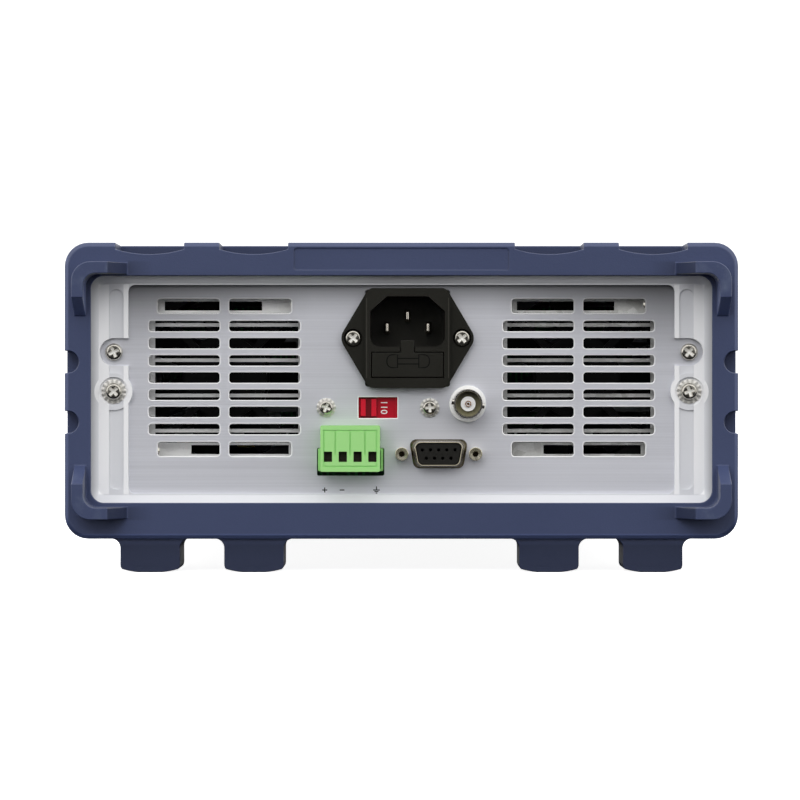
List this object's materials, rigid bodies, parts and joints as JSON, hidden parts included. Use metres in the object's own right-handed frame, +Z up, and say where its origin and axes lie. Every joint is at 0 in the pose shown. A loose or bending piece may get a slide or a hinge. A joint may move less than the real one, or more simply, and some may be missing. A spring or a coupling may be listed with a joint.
{
  "type": "dc electronic load",
  "caption": "Bench DC electronic load in a steel case with rubber end boots, fan vents, fused mains inlet, voltage selector, terminal plug, keypad, knob and binding posts.",
  "frame": {"origin": "under the middle of the bounding box, on the plane of the feet", "axes": "+X across the width, +Y towards the rear panel, +Z up"},
  "size_m": [0.228, 0.3726, 0.1117],
  "materials": {
    "cover_paint": "fine texture paint",
    "plated_steel": "zinc plated",
    "brushed_panel": "brushed",
    "grey_plastic": "satin",
    "boot_rubber": "matte",
    "dark_lens": "gloss",
    "display_blue": "satin",
    "green_board": "satin",
    "sink_aluminium": "extruded",
    "black_plastic": "satin",
    "core_iron": "varnished",
    "nickel": "nickel plated",
    "inlet_plastic": "satin",
    "contact_metal": "plated",
    "fuse_glass": "clear",
    "red_plastic": "gloss",
    "green_plastic": "satin",
    "white_plastic": "satin",
    "knob_plastic": "satin",
    "post_brass": "gold plated",
    "red_cap_plastic": "gloss",
    "black_cap_plastic": "gloss",
    "key_plastic": "satin"
  },
  "bodies": {
    "instrument": {"case_cover": "cover_paint", "chassis_tray": "plated_steel", "fan_bracket": "plated_steel", "rear_panel": "brushed_panel", "rear_bezel": "grey_plastic", "rear_boot": "boot_rubber", "front_boot": "boot_rubber", "front_bezel": "grey_plastic", "display_window": "dark_lens", "display_module": "display_blue", "control_board": "green_board", "power_board": "green_board", "heat_sinks": "sink_aluminium", "power_transistors": "black_plastic", "transformer": "core_iron", "fan_frame_left": "black_plastic", "fan_frame_right": "black_plastic", "chassis_screws": "nickel", "rear_screws": "nickel", "inlet_body": "inlet_plastic", "inlet_pins": "contact_metal", "selector_body": "red_plastic", "connector_board": "green_board", "terminal_header": "green_plastic", "dsub_shell": "nickel", "dsub_insert": "black_plastic", "dsub_jackscrews": "nickel", "coax_shell": "nickel", "coax_collar": "white_plastic", "coax_core": "white_plastic", "encoder_body": "nickel", "power_switch_body": "black_plastic", "post_bases": "black_plastic", "post_studs": "post_brass"},
    "left_fan": {"fan_rotor_left": "black_plastic"},
    "right_fan": {"fan_rotor_right": "black_plastic"},
    "drawer": {"fuse_drawer": "inlet_plastic", "fuses": "fuse_glass"},
    "slider": {"selector_slider": "red_plastic"},
    "plug": {"terminal_plug": "green_plastic", "terminal_clamps": "nickel"},
    "dial": {"knob": "knob_plastic", "encoder_shaft": "nickel"},
    "power": {"power_button": "knob_plastic"},
    "red_nut_carrier": {"red_post_washer": "post_brass"},
    "red_nut": {"red_post_cap": "red_cap_plastic"},
    "black_nut_carrier": {"black_post_washer": "post_brass"},
    "black_nut": {"black_post_cap": "black_cap_plastic"},
    "press_1": {"key_1": "key_plastic"},
    "press_2": {"key_2": "key_plastic"},
    "press_3": {"key_3": "key_plastic"},
    "press_4": {"key_4": "key_plastic"},
    "press_5": {"key_5": "key_plastic"},
    "press_6": {"key_6": "key_plastic"},
    "press_7": {"key_7": "key_plastic"},
    "press_8": {"key_8": "key_plastic"},
    "press_9": {"key_9": "key_plastic"},
    "press_0": {"key_0": "key_plastic"},
    "press_point": {"key_point": "key_plastic"},
    "press_enter": {"key_enter": "key_plastic"}
  },
  "joints": [
    {"name": "left_fan_spin", "type": "hinge", "parent": "instrument", "child": "left_fan", "pos_m": [0.0602, 0.1478, 0.066], "axis": [0, 1, 0], "continuous": true},
    {"name": "right_fan_spin", "type": "hinge", "parent": "instrument", "child": "right_fan", "pos_m": [-0.0602, 0.1478, 0.066], "axis": [0, 1, 0], "continuous": true},
    {"name": "fuse_drawer_slide", "type": "slide", "parent": "instrument", "child": "drawer", "axis": [0, 1, 0], "range_m": [0, 0.022]},
    {"name": "selector_slide", "type": "slide", "parent": "instrument", "child": "slider", "axis": [-1, 0, 0], "range_m": [0, 0.0064]},
    {"name": "terminal_plug_pull", "type": "slide", "parent": "instrument", "child": "plug", "axis": [0, 1, 0], "range_m": [0, 0.012]},
    {"name": "knob_turn", "type": "hinge", "parent": "instrument", "child": "dial", "pos_m": [0.08, -0.1702, 0.078], "axis": [0, -1, 0], "continuous": true},
    {"name": "power_button_press", "type": "slide", "parent": "instrument", "child": "power", "axis": [0, 1, 0], "range_m": [0, 0.003], "stiffness_N_per_m": 400},
    {"name": "red_post_lift", "type": "slide", "parent": "instrument", "child": "red_nut_carrier", "axis": [0, -1, 0], "range_m": [0, 0.005]},
    {"name": "red_post_turn", "type": "hinge", "parent": "red_nut_carrier", "child": "red_nut", "pos_m": [0.066, -0.1762, 0.041], "axis": [0, -1, 0], "range_deg": [0, 1800]},
    {"name": "black_post_lift", "type": "slide", "parent": "instrument", "child": "black_nut_carrier", "axis": [0, -1, 0], "range_m": [0, 0.005]},
    {"name": "black_post_turn", "type": "hinge", "parent": "black_nut_carrier", "child": "black_nut", "pos_m": [0.092, -0.1762, 0.041], "axis": [0, -1, 0], "range_deg": [0, 1800]},
    {"name": "key_1_press", "type": "slide", "parent": "instrument", "child": "press_1", "axis": [0, 1, 0], "range_m": [0, 0.0008], "stiffness_N_per_m": 600},
    {"name": "key_2_press", "type": "slide", "parent": "instrument", "child": "press_2", "axis": [0, 1, 0], "range_m": [0, 0.0008], "stiffness_N_per_m": 600},
    {"name": "key_3_press", "type": "slide", "parent": "instrument", "child": "press_3", "axis": [0, 1, 0], "range_m": [0, 0.0008], "stiffness_N_per_m": 600},
    {"name": "key_4_press", "type": "slide", "parent": "instrument", "child": "press_4", "axis": [0, 1, 0], "range_m": [0, 0.0008], "stiffness_N_per_m": 600},
    {"name": "key_5_press", "type": "slide", "parent": "instrument", "child": "press_5", "axis": [0, 1, 0], "range_m": [0, 0.0008], "stiffness_N_per_m": 600},
    {"name": "key_6_press", "type": "slide", "parent": "instrument", "child": "press_6", "axis": [0, 1, 0], "range_m": [0, 0.0008], "stiffness_N_per_m": 600},
    {"name": "key_7_press", "type": "slide", "parent": "instrument", "child": "press_7", "axis": [0, 1, 0], "range_m": [0, 0.0008], "stiffness_N_per_m": 600},
    {"name": "key_8_press", "type": "slide", "parent": "instrument", "child": "press_8", "axis": [0, 1, 0], "range_m": [0, 0.0008], "stiffness_N_per_m": 600},
    {"name": "key_9_press", "type": "slide", "parent": "instrument", "child": "press_9", "axis": [0, 1, 0], "range_m": [0, 0.0008], "stiffness_N_per_m": 600},
    {"name": "key_0_press", "type": "slide", "parent": "instrument", "child": "press_0", "axis": [0, 1, 0], "range_m": [0, 0.0008], "stiffness_N_per_m": 600},
    {"name": "key_point_press", "type": "slide", "parent": "instrument", "child": "press_point", "axis": [0, 1, 0], "range_m": [0, 0.0008], "stiffness_N_per_m": 600},
    {"name": "key_enter_press", "type": "slide", "parent": "instrument", "child": "press_enter", "axis": [0, 1, 0], "range_m": [0, 0.0008], "stiffness_N_per_m": 600}
  ],
  "couplings": [
    {"joint": "red_post_lift", "follows": "red_post_turn", "m_per_rad": 0.000159},
    {"joint": "black_post_lift", "follows": "black_post_turn", "m_per_rad": 0.000159}
  ]
}
